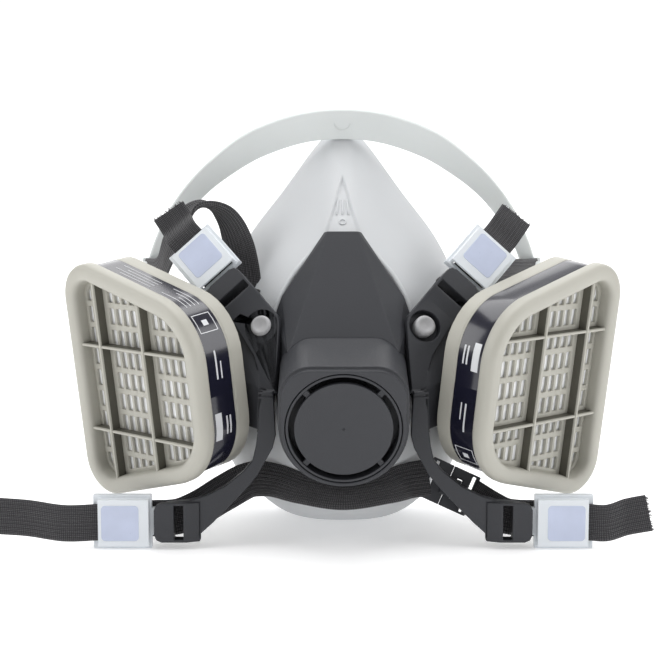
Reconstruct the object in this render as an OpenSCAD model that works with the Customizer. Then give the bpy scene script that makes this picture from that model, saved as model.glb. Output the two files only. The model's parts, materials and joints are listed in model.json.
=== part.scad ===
/* [Facepiece] */
// Half width of the face opening at the cheeks, mm
face_half_w = 58; // [54:0.5:62]
// Wall of the soft face seal, mm
seal_t = 2.2; // [1.8:0.1:2.8]
// Width of the soft inner lip, mm
lip_w = 9; // [6:0.5:11]

/* [Exhalation valve] */
// Outer radius of the round valve housing, mm
housing_r = 25.4; // [25:0.1:26.5]
// Radius of the round opening in the housing, mm
guard_r = 22.6; // [21.5:0.1:23]
// Radius of the solid disc of the guard, mm
disc_r = 19.2; // [17.5:0.1:20]
// Radius of the thin exhalation flap, mm
flap_r = 15.4; // [14:0.1:16]

/* [Inhalation ports] */
// Radius of the bayonet tube, mm
tube_r = 13; // [12:0.1:13.5]
// Bore radius of the bayonet tube, mm
tube_bore_r = 10.6; // [9.5:0.1:11]
// Sideways turn of each port, degrees
port_yaw = 44; // [42:0.5:46]
// Downward tip of each port, degrees
port_pitch = 8; // [7:0.5:9]

/* [Cartridges] */
// Half height of the tall rear edge, mm
rear_h = 54; // [50:0.5:55]
// Half height of the short near edge, mm
near_h = 33; // [30:0.5:34]
// Half width of the cartridge, mm
half_w = 40; // [37:0.5:41]
// Height of the cartridge above the port face, mm
cart_top = 33; // [31:0.5:34]

/* [Straps] */
// Webbing width, mm
web_w = 15; // [13:0.5:15]
// Webbing thickness, mm
web_t = 1.3; // [1:0.1:1.4]
// Free tail length past the lower left buckle, mm
tail_ll = 44; // [20:1:60]
// Free tail length past the lower right buckle, mm
tail_lr = 24; // [15:1:60]

/* [Hidden] */
$fn = 64;
e = 0.01;
port_pos = [62, 13, 68];
disc_pos = [0, -42, 52.4];
disc_tip = 103;
peg_pos = [33, -5, 88];
arm_x = [0.7435, -0.065, -0.664];
arm_y = [0.602, 0.4957, 0.6255];
arm_end = 25;
pin_r = 1.9;
room_inset = -1;
low_pos = [72.5, -20, 11];
cradle_pos = [0, 47.8, 170];
cradle_y = [0, -35, 66];

// ---- helpers ----
function unit(v) = v / norm(v);
function square_to(x, y) = unit(y - x * (x * y));
function mix(a, b, t) = a * (1 - t) + b * t;
function smooth(a, b, c, d, t) = 0.5 * (2 * b + (c - a) * t
    + (2 * a - 5 * b + 4 * c - d) * t * t + (3 * b - a - 3 * c + d) * t * t * t);
function open_at(l, i, t) = smooth(l[max(i - 1, 0)], l[i], l[min(i + 1, len(l) - 1)],
    l[min(i + 2, len(l) - 1)], t);
function open_curve(l, k) = concat(
    [for (i = [0 : len(l) - 2]) for (j = [0 : k - 1]) open_at(l, i, j / k)],
    [l[len(l) - 1]]);
function loop_at(l, i, t) = smooth(l[(i + len(l) - 1) % len(l)], l[i], l[(i + 1) % len(l)],
    l[(i + 2) % len(l)], t);
function loop_curve(l, k) = [for (i = [0 : len(l) - 1]) for (j = [0 : k - 1])
    loop_at(l, i, j / k)];
function both_sides(h) = concat(h, [for (i = [len(h) - 2 : -1 : 1])
    [-h[i][0], h[i][1], h[i][2]]]);

// Places children in a frame given by its origin, X axis and Y axis.
module at(o, x, y) {
    xa = unit(x);
    ya = square_to(xa, y);
    za = cross(xa, ya);
    translate(o)
        rotate([atan2(ya[2], za[2]), -asin(xa[2]), atan2(xa[1], xa[0])])
            children();
}

module tube(r, bore, z0, z1) {
    difference() {
        translate([0, 0, z0])
            cylinder(r = r, h = z1 - z0);
        translate([0, 0, z0 - 1])
            cylinder(r = bore, h = z1 - z0 + 2);
    }
}

module block(x0, x1, y0, y1, z0, z1) {
    translate([x0, y0, z0])
        cube([x1 - x0, y1 - y0, z1 - z0]);
}

// Flat webbing swept along a path, with the width direction given at each point.
module ribbon(path, across, w = web_w, t = web_t, k = 6) {
    p = open_curve(path, k);
    a = open_curve(across, k);
    n = len(p);
    tan = [for (i = [0 : n - 1]) unit(p[min(i + 1, n - 1)] - p[max(i - 1, 0)])];
    wid = [for (i = [0 : n - 1]) square_to(tan[i], a[i]) * w / 2];
    nor = [for (i = [0 : n - 1]) unit(cross(tan[i], wid[i])) * t / 2];
    pts = [for (i = [0 : n - 1]) for (c = [[1, 1], [-1, 1], [-1, -1], [1, -1]])
        p[i] + wid[i] * c[0] + nor[i] * c[1]];
    sides = [for (i = [0 : n - 2]) for (j = [0 : 3]) for (f = [0, 1])
        f == 0
            ? [4 * i + j, 4 * i + 4 + j, 4 * i + 4 + (j + 1) % 4]
            : [4 * i + j, 4 * i + 4 + (j + 1) % 4, 4 * i + (j + 1) % 4]];
    caps = [[0, 1, 2], [0, 2, 3], [4 * n - 2, 4 * n - 3, 4 * n - 4],
        [4 * n - 1, 4 * n - 2, 4 * n - 4]];
    polyhedron(points = pts, faces = concat(sides, caps), convexity = 6);
}

// ---- soft face seal ----
rim_half = [[0, 57, 168], [9, 57.5, 163.5], [26, 59.5, 141], [43, 61, 118],
    [54, 61.5, 92], [face_half_w, 60, 66], [55, 58, 40], [43, 55, 18], [24, 53, 4],
    [0, 52, 0]];
mid_half = [[0, 36, 147], [8, 36, 145], [22, 33, 130], [37, 29, 116], [53, 20, 97],
    [64, 9, 70], [61, 7, 45], [49, 0, 17], [28, -9, -2], [0, -13, -5]];
front_half = [[0, 18, 127], [5, 17.5, 125], [13, 14, 115], [20, 10, 105], [24, 5, 92],
    [25, 0, 75], [25, -6, 58], [22, -12, 44], [13, -16, 35], [0, -17, 33]];

module face_seal() {
    k = 3;
    m = 9;
    rim = loop_curve(both_sides(rim_half), k);
    mid = loop_curve(both_sides(mid_half), k);
    front = loop_curve(both_sides(front_half), k);
    n = len(rim);
    skin = [for (i = [0 : n - 1]) [for (j = [0 : m]) let (s = j / m)
        rim[i] * (1 - s) * (1 - s) + mid[i] * 2 * s * (1 - s) + front[i] * s * s]];
    inward = [for (i = [0 : n - 1]) [for (j = [0 : m])
        let (di = skin[(i + 1) % n][j] - skin[(i + n - 1) % n][j])
        let (dj = skin[i][min(j + 1, m)] - skin[i][max(j - 1, 0)])
        unit(cross(di, dj))]];
    toward = [for (i = [0 : n - 1]) unit([0, rim[i][1], 75] - rim[i])];
    pts = [for (i = [0 : n - 1]) each concat(
        [for (j = [m : -1 : 0]) skin[i][j]],
        [rim[i] + toward[i] * lip_w + [0, -1.2, 0], rim[i] + toward[i] * lip_w + [0, -2.4, 0]],
        [for (j = [1 : m]) skin[i][j] + inward[i][j] * seal_t])];
    q = 2 * m + 3;
    faces = [for (i = [0 : n - 1]) for (j = [0 : q - 1]) for (f = [0, 1])
        let (a = i * q + j, b = ((i + 1) % n) * q + j)
        let (c = ((i + 1) % n) * q + (j + 1) % q, d = i * q + (j + 1) % q)
        f == 0 ? [a, c, b] : [a, d, c]];
    color([0.74, 0.75, 0.76])
        difference() {
            polyhedron(points = pts, faces = faces, convexity = 8);
            body_blank();
            housing_blank();
            both() port_frame()
                translate([0, 0, -32])
                    cylinder(r = 17.5, h = 40);
            cradle_band();
            block(-90, 90, -90, 90, -20, 0);
        }
}

module both() {
    children();
    mirror([1, 0, 0])
        children();
}

// ---- hard front body with the valve housing ----
module body_blank() {
    side = [[6, 12, 125.5], [22, -19.5, 78], [7.5, 14, 125], [25, 6.5, 99],
        [27.5, 4, 92], [27.5, -4, 60], [24, -12, 42], [6, 20, 125], [25, 18, 95],
        [27.5, 14, 60], [22, 2, 40]];
    hull()
        for (p = side)
            for (s = [-1, 1])
                translate([s * p[0], p[1], p[2]])
                    cube(0.4, center = true);
}

module body_hollow() {
    side = [[3, 17, 121], [18, -13, 79], [22, 8, 96], [24.5, 6, 90], [24.5, 0, 62],
        [20, -8, 45], [3, 34, 121], [22, 34, 95], [24.5, 34, 60], [18, 30, 45]];
    hull()
        for (p = side)
            for (s = [-1, 1])
                translate([s * p[0], p[1], p[2]])
                    cube(0.4, center = true);
}

module disc_frame() {
    translate(disc_pos)
        rotate([disc_tip, 0, 0])
            children();
}

module housing_section(r, c) {
    circle(r = r);
    translate([-c, 0])
        square([2 * c, r]);
    translate([-r, 0])
        square([2 * r, c]);
    for (s = [-1, 1])
        translate([s * c, c])
            circle(r = r - c);
}

module housing_blank() {
    disc_frame()
        translate([0, 0, -34])
            linear_extrude(32)
                housing_section(housing_r, housing_r - 13);
    disc_frame()
        translate([0, 0, -2.2])
            linear_extrude(2.2)
                housing_section(housing_r - 1.2, housing_r - 13);
}

module front_body() {
    color([0.25, 0.25, 0.27])
        difference() {
            body_blank();
            housing_blank();
            body_hollow();
            disc_frame()
                translate([0, 0, -60])
                    cylinder(r = 17.5, h = 60);
        }
}

module valve_housing() {
    color([0.27, 0.27, 0.29])
        difference() {
            housing_blank();
            body_hollow();
            disc_frame()
                translate([0, 0, -9.5])
                    cylinder(r = guard_r + 0.3, h = 12);
            disc_frame()
                translate([0, 0, -40])
                    cylinder(r = 17.5, h = 32);
        }
}

module exhalation_seat() {
    color([0.3, 0.3, 0.32])
        disc_frame() {
            tube(17.5, 12.8, -13.5, -11.6);
            tube(14.6, 13.2, -11.6, -10.9);
            difference() {
                for (a = [0, 60, 120])
                    rotate(a)
                        block(-13, 13, -1, 1, -13.5, -11.6);
                translate([0, 0, -20])
                    cylinder(r = 1.5, h = 12);
            }
            tube(3.2, 1.5, -13.5, -11.6);
        }
}

module exhalation_valve() {
    color([0.2, 0.2, 0.21])
        disc_frame() {
            translate([0, 0, -10.6])
                cylinder(r = flap_r, h = 0.6);
            translate([0, 0, -16.2])
                cylinder(r = 1.2, h = 6);
            translate([0, 0, -16.6])
                cylinder(r1 = 1.2, r2 = 2, h = 1.1);
        }
}

module valve_guard() {
    color([0.22, 0.22, 0.24])
        disc_frame() {
            translate([0, 0, -1.8])
                cylinder(r = disc_r, h = 2);
            tube(guard_r, guard_r - 1.1, -7.5, -0.2);
            difference() {
                for (a = [45, 135])
                    rotate(a)
                        block(-guard_r + 0.6, guard_r - 0.6, -1.2, 1.2, -2.6, -1);
                translate([0, 0, -2.7])
                    cylinder(r = disc_r - 2, h = 0.9);
            }
            translate([0, 0, 0.2 - e])
                cylinder(r = 0.5, h = 0.3);
        }
}

// ---- yokes: port ring, upper arm and lower arm ----
module port_frame() {
    translate(port_pos)
        rotate([90 + port_pitch, 0, port_yaw])
            children();
}

module peg_frame() {
    at(peg_pos, arm_x, arm_y)
        children();
}

module lower_frame() {
    translate(low_pos)
        rotate([90, 90, 0])
            children();
}

module upper_arm() {
    peg_frame() {
        translate([0, 0, -3.6])
            linear_extrude(4.6)
                polygon([[8.3, 21.5], [8.2, 7], [9, 1], [10.2, -7.6], [12.5, -13.5],
                    [16, -21], [13, -27], [12.4, -25], [0.2, -12], [-6.5, -4.2],
                    [-8, -1], [-8.2, 21.5]]);
    }
    upper_end()
        arm_tip();
}

// Raised tip that covers the strap pin, in the frame of that pin.
module arm_tip() {
    intersection() {
        rotate([90, 0, 90])
            translate([0, 0, -9])
                linear_extrude(18)
                    polygon([[-15, 2.1], [-9.5, 4.3], [3.4, 4.3], [3.4, 3.1], [2.5, 2.4],
                        [2.5, -2.2], [-15, -2.2]]);
        translate([0, 0, -5])
            linear_extrude(12)
                polygon([[-8.1, -16], [8.1, -16], [8.1, 0.4], [7.2, 2.5], [5.1, 3.4],
                    [-5.1, 3.4], [-7.2, 2.5], [-8.1, 0.4]]);
    }
}

// Room for the buckle hook, and the moulding slot behind the pin.
module tip_room() {
    block(-6.5, 6.5, -3.5, 5, -9, 3.15);
    block(-7, 7, -8.4, -4.6, -12, 12);
}

module strap_pin() {
    translate([-7.3, 0, 0])
        rotate([0, 90, 0])
            cylinder(r = pin_r, h = 14.6);
}

module lower_arm() {
    translate([0, -18, 0])
        rotate([90, 0, 0])
            linear_extrude(4)
                polygon([[33.5, 64], [34.2, 48], [35, 42], [36.4, 36], [40, 31.6],
                    [47.5, 25.4], [55.6, 21.4], [62, 19.6], [70.5, 18.95], [72.5, 18.95],
                    [72.5, 3.05], [70.5, 3.05], [66, 3.2], [57.8, 5.6], [52.5, 10.4],
                    [47.2, 15.8], [37.5, 26.1], [34.2, 30.2], [28.2, 41.2], [27, 46],
                    [27.9, 64]]);
    lower_end()
        arm_tip();
}

// Fills the step from the arms back to the port ring.
module shoulder() {
    hull() {
        block(29, 34.2, -19, -12, 47, 62);
        peg_frame()
            block(-6.8, 8, -3, 12, -5, -3);
        port_frame()
            translate([0, 0, -12])
                cylinder(r = 17.3, h = 8);
    }
}

module yoke() {
    color([0.24, 0.24, 0.26]) {
        difference() {
            union() {
                upper_arm();
                lower_arm();
                shoulder();
                port_frame()
                    translate([0, 0, -6])
                        cylinder(r = 19.4, h = 6);
                port_frame()
                    translate([0, 0, -22])
                        cylinder(r = 17, h = 18);
            }
            body_blank();
            housing_blank();
            seal_keepout();
            cartridge_room();
            port_frame()
                translate([0, 0, -40])
                    cylinder(r = tube_r, h = 60);
            peg_frame() {
                translate([0, 0, -3])
                    cylinder(r = 6.6, h = 9);
                translate([0, 0, -6.2])
                    cylinder(r = 2.6, h = 6);
            }
            upper_end()
                tip_room();
            lower_end()
                tip_room();
        }
        upper_end()
            strap_pin();
        lower_end()
            strap_pin();
    }
}

// Clear space that the cartridge and its gasket need, seated and turned.
module cartridge_room() {
    port_frame()
        cylinder(r = 21.2, h = 30);
    port_frame()
        rotate(180)
            for (a = [-30, -15, 0, 15, 30])
                rotate(a)
                    cart_plate(room_inset, 3, 40);
}

// Space behind the yoke that belongs to the soft cheek.
module seal_keepout() {
    difference() {
        hull()
            for (p = [[50, 57, 92], [54, 56, 66], [52, 54, 40], [47, 22, 95], [52, 17, 70],
                [50, 15, 47], [24, 6, 92], [26, 1, 75], [26, -4, 58], [40, 12, 36],
                [30, 0, 44], [10, 40, 60], [10, 40, 90], [34, 24, 106], [22, 10, 104]])
                translate(p)
                    cube(0.4, center = true);
        port_frame()
            translate([0, 0, -30])
                cylinder(r = 17.5, h = 40);
    }
}

module yoke_left() {
    mirror([1, 0, 0])
        yoke();
}

module yoke_right() {
    yoke();
}

module yoke_peg() {
    color([0.68, 0.68, 0.69])
        peg_frame()
            difference() {
                union() {
                    translate([0, 0, -6.2])
                        cylinder(r = 2.6, h = 4.2);
                    translate([0, 0, -3])
                        cylinder(r = 4.3, h = 4.6);
                    translate([0, 0, 1.6 - e])
                        cylinder(r1 = 4.3, r2 = 3.6, h = 0.8);
                }
                translate([0, 0, 7.6])
                    sphere(r = 6);
            }
}

module yoke_peg_left() {
    mirror([1, 0, 0])
        yoke_peg();
}

module yoke_peg_right() {
    yoke_peg();
}

// ---- bayonet ports ----
module left_port() {
    mirror([1, 0, 0])
        port_frame()
            mirror([1, 0, 0])
                children();
}

module right_port() {
    port_frame()
        rotate(180)
            children();
}

module sector(r, a0, a1, z0, z1) {
    translate([0, 0, z0])
        linear_extrude(z1 - z0)
            polygon(concat([[0, 0]], [for (i = [0 : 6]) let (a = mix(a0, a1, i / 6))
                [r * cos(a), r * sin(a)]]));
}

module port_body() {
    color([0.3, 0.3, 0.32])
        difference() {
            union() {
                translate([0, 0, -20])
                    cylinder(r = tube_r, h = 25.4);
                intersection() {
                    translate([0, 0, 3.9])
                        cylinder(r = 15.2, h = 1.3);
                    union()
                        for (a = [0, 120, 240])
                            sector(17, a - 12, a + 12, 3, 6);
                }
            }
            translate([0, 0, -21])
                cylinder(r = tube_bore_r, h = 13);
            translate([0, 0, -6.5])
                cylinder(r = tube_bore_r, h = 13);
            translate([0, 0, -9])
                cylinder(r = 1.3, h = 4);
            for (a = [0, 120, 240])
                translate([0, 0, -9])
                    intersection() {
                        tube(8.9, 2.7, 0, 4);
                        rotate(a)
                            sector(12, 9, 111, 0, 4);
                    }
        }
}

module inhalation_port_left() {
    left_port()
        port_body();
}

module inhalation_port_right() {
    right_port()
        port_body();
}

module gasket() {
    color([0.16, 0.16, 0.17])
        tube(18.4, tube_r, 0, 1.3);
}

module port_gasket_left() {
    left_port()
        gasket();
}

module port_gasket_right() {
    right_port()
        gasket();
}

module inhalation_flap() {
    color([0.72, 0.66, 0.4]) {
        translate([0, 0, -8.8])
            cylinder(r = 9.9, h = 0.6);
        translate([0, 0, -8.3])
            cylinder(r = 1.05, h = 3.6);
        translate([0, 0, -5])
            cylinder(r1 = 1.9, r2 = 1.1, h = 1);
    }
}

module inhalation_valve_left() {
    left_port()
        inhalation_flap();
}

module inhalation_valve_right() {
    right_port()
        inhalation_flap();
}

// ---- cartridges ----
rear_r = 15;
near_r = 27;
slope = atan2(rear_h - near_h, 2 * half_w);

// Centre of the round at a corner with outward edge directions a0 and a1.
function corner_mid(v, a0, a1, r) =
    v - [cos((a0 + a1) / 2), sin((a0 + a1) / 2)] * r / cos((a1 - a0) / 2);
function corner_arc(v, a0, a1, r, inset) = [for (i = [0 : 8]) let (a = mix(a0, a1, i / 8))
    corner_mid(v, a0, a1, r) + (r - inset) * [cos(a), sin(a)]];
function cart_outline(inset) = concat(
    corner_arc([-half_w, -rear_h], 180, 270 + slope, rear_r, inset),
    corner_arc([half_w, -near_h], -90 + slope, 0, near_r, inset),
    corner_arc([half_w, near_h], 0, 90 - slope, near_r, inset),
    corner_arc([-half_w, rear_h], 90 - slope, 180, rear_r, inset));

module cart_plate(inset, z0, z1) {
    translate([0, 0, z0])
        linear_extrude(z1 - z0)
            polygon(cart_outline(inset));
}

module back_shell() {
    color([0.68, 0.67, 0.63])
        difference() {
            union() {
                cart_plate(5, 3.6, 5);
                cart_plate(3.4, 5, 6.5);
                cart_plate(1.6, 6.5, 13);
                translate([0, 0, 1.6])
                    cylinder(r = 20.5, h = 2.1);
            }
            cart_plate(3.6, 7.4, 14);
            translate([0, 0, 3.6])
                cylinder(r = 17, h = 5);
            translate([0, 0, 1])
                cylinder(r = tube_r + 0.4, h = 4);
            for (a = [-30, 90, 210])
                sector(15.6, a - 14, a + 14, 1, 4.4);
        }
}

module scrim_back() {
    color([0.93, 0.93, 0.93])
        cart_plate(3.6, 7.4, 8);
}

module carbon_bed() {
    color([0.1, 0.1, 0.1])
        cart_plate(3.6, 8, 25.4);
}

module scrim_front() {
    color([0.95, 0.95, 0.96])
        cart_plate(3.6, 25.4, 26);
}

module label_band() {
    color([0.08, 0.08, 0.13])
        difference() {
            cart_plate(1.7, 13.8, 26.4);
            cart_plate(2.1, 13, 27);
        }
}

slot_x = [-30, -25.4, -16, -11.4, -6.8, -2.2, 2.4, 11.2, 15.8, 20.4, 25];
fin_x = [-20.8, 6.6];

module front_shell() {
    color([0.69, 0.68, 0.64]) {
        difference() {
            union() {
                cart_plate(1.6, 13, 26.6);
                cart_plate(0, 26.6, cart_top - 1.6);
                cart_plate(1.2, cart_top - 1.6, cart_top);
            }
            cart_plate(3.6, 12, 26);
            cart_plate(7.4, 27.2, cart_top + 1);
            difference() {
                cart_plate(1, 13.8, 26.4);
                cart_plate(2.1, 13, 27);
            }
            intersection() {
                for (x = slot_x)
                    for (j = [-6 : 5])
                        block(x - 1.6, x + 1.6, j * 9.1 - 2.1 - 1.2, j * 9.1 - 2.1 + 5.6, 25, 29);
                cart_plate(8.6, 25, 29);
            }
        }
        intersection() {
            union() {
                for (x = fin_x)
                    block(x - 0.6, x + 0.6, -60, 60, 27.2 - e, cart_top - 1.1);
                for (y = [14.9, -21.5])
                    block(-50, 50, y - 0.6, y + 0.6, 27.2 - e, cart_top - 1.1);
            }
            cart_plate(7.3, 27, cart_top);
        }
    }
}

module cartridge_left_back_shell() {
    left_port()
        back_shell();
}

module cartridge_left_front_shell() {
    left_port()
        front_shell();
}

module cartridge_left_label_band() {
    left_port()
        label_band();
}

module cartridge_left_carbon_bed() {
    left_port()
        carbon_bed();
}

module cartridge_left_scrim_front() {
    left_port()
        scrim_front();
}

module cartridge_left_scrim_back() {
    left_port()
        scrim_back();
}

module cartridge_right_back_shell() {
    right_port()
        back_shell();
}

module cartridge_right_front_shell() {
    right_port()
        front_shell();
}

module cartridge_right_label_band() {
    right_port()
        label_band();
}

module cartridge_right_carbon_bed() {
    right_port()
        carbon_bed();
}

module cartridge_right_scrim_front() {
    right_port()
        scrim_front();
}

module cartridge_right_scrim_back() {
    right_port()
        scrim_back();
}

// ---- buckles and their webbing tails ----
module upper_end() {
    peg_frame()
        translate([0, arm_end, -1.3])
            children();
}

module lower_end() {
    lower_frame()
        children();
}

module buckle() {
    color([0.86, 0.89, 0.94]) {
        difference() {
            rotate([0, 90, 0])
                tube(3, pin_r + 0.25, -5.6, 5.6);
            block(-6, 6, -5, -0.3, -5, -1.5);
        }
        block(-5.6, 5.6, 2.5, 5.2, -1.5, 1.5);
        difference() {
            block(-11, 11, 4.4, 28, -1.5, 1.5);
            block(-8.1, 8.1, 6.2, 9.8, -3, 3);
            block(-8.1, 8.1, 12, 24, -3, 3);
        }
        for (s = [-9.6, 8.1])
            block(s, s + 1.5, 5.4, 25.8, 1.5 - e, 3.5);
        block(-9.6, 9.6, 5.4, 25.8, 3.5 - e, 4.7);
    }
}

module tail(free, drop, wave) {
    color([0.22, 0.22, 0.23])
        ribbon([[0, 1.4, -4.75], [0, 4.3, -4.35], [0, 6.7, -2.5], [0, 7.7, 0.2],
            [0, 9.4, 2.1], [0, 12.5, 2.4], [0, 25, 2.4], [0, 26 + free * 0.3, 2.6 + wave],
            [-drop * 0.5, 26 + free * 0.65, 2.2 - wave * 0.4],
            [-drop, 26 + free, 2.6 + wave * 0.5]],
            [for (i = [0 : 9]) [1, 0, 0]]);
}

module buckle_upper_left() {
    mirror([1, 0, 0])
        upper_end()
            buckle();
}

module buckle_upper_right() {
    upper_end()
        buckle();
}

module buckle_lower_left() {
    mirror([1, 0, 0])
        lower_end()
            buckle();
}

module buckle_lower_right() {
    lower_end()
        buckle();
}

module tail_upper_left() {
    mirror([1, 0, 0])
        upper_end()
            tail(18, 2, 1.5);
}

module tail_upper_right() {
    upper_end()
        tail(17, 1, -0.6);
}

module tail_lower_left() {
    mirror([1, 0, 0])
        lower_end()
            tail(tail_ll, 3, 1.6);
}

module tail_lower_right() {
    lower_end()
        tail(tail_lr, 4, 1.2);
}

// ---- fixed straps ----
function from_end(p) = peg_pos + unit(arm_x) * p[0]
    + square_to(unit(arm_x), arm_y) * (arm_end + p[1])
    + cross(unit(arm_x), square_to(unit(arm_x), arm_y)) * (p[2] - 1.3);

module upper_strap_left() {
    color([0.22, 0.22, 0.23])
        mirror([1, 0, 0])
            ribbon([from_end([0, -0.4, -4.75]), from_end([0, -3.5, -5.6]),
                from_end([-1, -5, -9.5]), from_end([-3, 0, -14]), [44, 27, 118],
                [50, 33, 130], [60, 37, 135], [69, 42, 129], [76, 50, 116],
                [82, 64, 104], [89.5, 82.5, 101.6]],
                [arm_x, arm_x, [0.8, -0.1, -0.6], [0.85, -0.2, -0.5], [0.8, 0.35, -0.4],
                [0.6, 0.75, -0.3], [0.35, 0.9, 0], [0.35, 0.85, 0.3], [0.2, 0.4, 0.9],
                [0, 0.1, 1], [0, 0, 1]]);
}

module upper_strap_right() {
    color([0.22, 0.22, 0.23])
        ribbon([from_end([0, -0.4, -4.75]), from_end([0.5, -3, -6]), from_end([2, -3.5, -10]),
            [57, 26, 106], [68, 42, 105], [79, 61, 103], [89.5, 82.5, 101.6]],
            [arm_x, arm_x, [0.7, -0.1, -0.7], [0.5, 0, -0.85], [0.2, 0, -0.95],
            [0, -0.1, -1], [0, 0, -1]]);
}

module neck_strap_left() {
    color([0.22, 0.22, 0.23])
        ribbon([[-72.1, -15.25, 10.2], [-66, -13.4, 10.6], [-58, -11, 14], [-48, -7.5, 20],
            [-38, -7, 25], [-28, -13, 26], [-16, -20, 24], [0, -24.5, 22.5],
            [16, -20.5, 24], [26, -14, 26], [35, -9.5, 26.5]],
            [[0, 0, 1], [0, 0, 1], [0, 0.1, 1], [0, 0.2, 1], [0, 0.35, 0.95],
            [0, 0.7, 0.7], [0, 0.8, 0.6], [0, 0.8, 0.6], [0, 0.8, 0.6], [0, 0.55, 0.8],
            [0, 0.25, 1]]);
}

module neck_strap_right() {
    color([0.22, 0.22, 0.23])
        ribbon([[52, -9.2, 18.5], [60, -11.8, 14], [66, -13.5, 11.5], [72.1, -15.25, 11]],
            [[0, 0.2, 1], [0, 0.1, 1], [0, 0, 1], [0, 0, 1]]);
}

module clasp_frame() {
    at([43.5, -8.9, 22.6], [0.9, 0.02, -0.42], [0.4, 0.2, 0.9])
        children();
}

module neck_clasp_hook() {
    color([0.28, 0.28, 0.3])
        clasp_frame() {
            difference() {
                block(-10.5, -1.5, -8.6, 8.6, -1.1, 1.1);
                block(-9, -7.4, -7.7, 7.7, -3, 3);
            }
            block(-2, 3.6, -4, 4, 1.1 - e, 2.1);
            block(-3.4, -1.5, -4, 4, 0, 2.1);
            block(2.2, 3.6, -4, 4, -1, 2);
        }
}

module neck_clasp_loop() {
    color([0.28, 0.28, 0.3])
        clasp_frame()
            difference() {
                block(-1.1, 10.5, -8.6, 8.6, -1.1, 0.8);
                block(1.7, 4.1, -4.4, 4.4, -3, 3);
                block(7.4, 9, -7.7, 7.7, -3, 3);
            }
}

// ---- head cradle: a front band and a rear band joined at two slotted ends ----
module band(outer, width) {
    n = len(outer);
    o = open_curve([for (i = [0 : n - 1]) outer[i]], 4);
    w = open_curve([for (i = [0 : n - 1]) width[i]], 4);
    m = len(o);
    t = [for (i = [0 : m - 1]) unit(o[min(i + 1, m - 1)] - o[max(i - 1, 0)])];
    inner = [for (i = [0 : m - 1]) o[i] + [t[i][1], -t[i][0]] * w[i]];
    polygon(concat(o, [for (i = [m - 1 : -1 : 0]) inner[i]]));
}

module cradle_band() {
    half_o = [[20, 4.2], [41, -4.4], [57, -17.2], [69, -30.5], [79, -46], [86, -62],
        [90.5, -76], [92, -82]];
    half_w = [14, 13.4, 11.5, 9.6, 8.2, 7, 7, 7];
    all_o = concat([for (i = [7 : -1 : 0]) [-half_o[i][0], half_o[i][1]]], [[0, 6.7]], half_o);
    all_w = concat([for (i = [7 : -1 : 0]) half_w[i]], [14.4], half_w);
    at(cradle_pos, [1, 0, 0], cradle_y)
        translate([0, 0, -2])
            linear_extrude(2)
                band(all_o, all_w);
}

module head_cradle() {
    color([0.74, 0.75, 0.76])
        difference() {
            union() {
                cradle_band();
                at([0, 86, 101], [1, 0, 0], [0, 0.55, -0.6])
                    translate([0, 0, -1])
                        linear_extrude(2)
                            band([[-92, -2], [-84, 10], [-66, 24], [-40, 36], [0, 41],
                                [40, 36], [66, 24], [84, 10], [92, -2]],
                                [7, 8, 9, 10, 11, 10, 9, 8, 7]);
                for (s = [-1, 1])
                    translate([s * 89.5, 86, 101])
                        rotate([0, 90, 0])
                            translate([0, 0, -2])
                                cylinder(r = 8.5, h = 4);
            }
            for (s = [-1, 1])
                translate([s * 89.5 - 5, 81, 93])
                    cube([10, 3, 16.4]);
        }
}

face_seal();
front_body();
valve_housing();
yoke_left();
yoke_right();
yoke_peg_left();
yoke_peg_right();
inhalation_port_left();
inhalation_port_right();
port_gasket_left();
port_gasket_right();
inhalation_valve_left();
inhalation_valve_right();
exhalation_seat();
exhalation_valve();
valve_guard();
cartridge_left_back_shell();
cartridge_left_front_shell();
cartridge_left_label_band();
cartridge_left_carbon_bed();
cartridge_left_scrim_front();
cartridge_left_scrim_back();
cartridge_right_back_shell();
cartridge_right_front_shell();
cartridge_right_label_band();
cartridge_right_carbon_bed();
cartridge_right_scrim_front();
cartridge_right_scrim_back();
buckle_upper_left();
buckle_upper_right();
buckle_lower_left();
buckle_lower_right();
tail_upper_left();
tail_upper_right();
tail_lower_left();
tail_lower_right();
upper_strap_left();
upper_strap_right();
neck_strap_left();
neck_strap_right();
neck_clasp_hook();
neck_clasp_loop();
head_cradle();
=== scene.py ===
import json
import math
import random

import bmesh
import bpy
from mathutils import Matrix, Vector


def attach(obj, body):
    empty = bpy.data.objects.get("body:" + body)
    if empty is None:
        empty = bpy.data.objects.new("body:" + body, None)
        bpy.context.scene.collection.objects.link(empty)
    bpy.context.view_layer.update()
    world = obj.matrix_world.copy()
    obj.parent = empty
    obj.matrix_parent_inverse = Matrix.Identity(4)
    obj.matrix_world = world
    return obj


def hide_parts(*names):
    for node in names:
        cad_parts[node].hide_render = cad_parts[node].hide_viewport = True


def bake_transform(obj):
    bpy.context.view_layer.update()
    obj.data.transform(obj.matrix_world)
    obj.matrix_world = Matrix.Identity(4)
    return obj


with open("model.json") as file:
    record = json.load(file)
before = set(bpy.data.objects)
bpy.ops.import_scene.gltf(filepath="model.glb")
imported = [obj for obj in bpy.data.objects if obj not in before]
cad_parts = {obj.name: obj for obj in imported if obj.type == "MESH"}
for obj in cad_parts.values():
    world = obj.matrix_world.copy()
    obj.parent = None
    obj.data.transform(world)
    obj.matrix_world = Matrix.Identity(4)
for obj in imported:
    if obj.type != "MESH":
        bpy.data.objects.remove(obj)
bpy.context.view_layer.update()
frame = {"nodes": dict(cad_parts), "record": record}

MM = 0.001
SIDES = {"right": 1, "left": -1}
BODY_OF = {node: body for body, nodes in frame["record"]["behaviour"]["bodies"].items()
           for node in nodes}


# ---- camera ----
def look_at(location, target):
    """Rotation that turns a camera or lamp from its place to a target."""
    return (Vector(target) - Vector(location)).to_track_quat("-Z", "Y").to_euler()


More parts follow.
